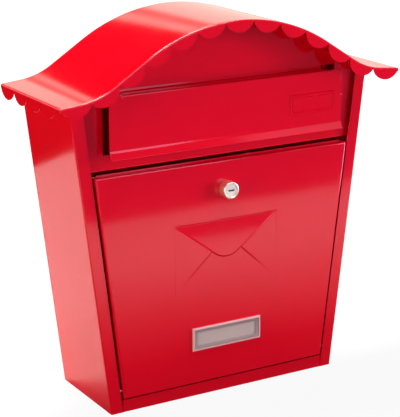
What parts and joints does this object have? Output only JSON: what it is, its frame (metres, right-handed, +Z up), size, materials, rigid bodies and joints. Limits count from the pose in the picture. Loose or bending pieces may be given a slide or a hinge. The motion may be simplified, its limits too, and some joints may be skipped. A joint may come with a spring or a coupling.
{
  "type": "wall mounted post box",
  "caption": "Wall mounted sheet steel post box with an ogee roof edged in scallops, a hinged mail flap, a drop-down door with a pressed envelope, a cam lock and a name holder.",
  "frame": {"origin": "middle of the bottom edge of the back face, in the plane of the wall", "axes": "+X to the right of someone facing the box, +Y into the wall, +Z up; millimetres in the source, metres here"},
  "size_m": [0.4032, 0.1435, 0.41],
  "materials": {
    "red_paint": "gloss",
    "nickel": "polished",
    "zinc_steel": "satin",
    "clear_plastic": "gloss",
    "card": "matte"
  },
  "bodies": {
    "box": {"body_shell": "red_paint", "floor_pan": "red_paint", "front_panel": "red_paint", "roof": "red_paint", "flap_rod": "zinc_steel", "flap_bracket_left": "red_paint", "flap_bracket_right": "red_paint", "door_lug_left": "red_paint", "door_lug_right": "red_paint", "door_pin_left": "zinc_steel", "door_pin_right": "zinc_steel"},
    "flap": {"mail_flap": "red_paint"},
    "door_leaf": {"door": "red_paint", "lock_body": "nickel", "lock_nut": "zinc_steel", "name_frame": "clear_plastic", "name_card": "card"},
    "lock_core": {"lock_plug": "nickel", "lock_cam": "zinc_steel", "cam_screw": "zinc_steel"}
  },
  "joints": [
    {"name": "flap_hinge", "type": "hinge", "parent": "box", "child": "flap", "pos_m": [0, -0.1206, 0.34], "axis": [-1, 0, 0], "range_deg": [0, 70]},
    {"name": "door_hinge", "type": "hinge", "parent": "box", "child": "door_leaf", "pos_m": [0, -0.1122, 0.024], "axis": [1, 0, 0], "range_deg": [0, 90]},
    {"name": "lock_turn", "type": "hinge", "parent": "door_leaf", "child": "lock_core", "pos_m": [0, -0.1, 0.2283], "axis": [0, -1, 0], "range_deg": [0, 90]}
  ]
}
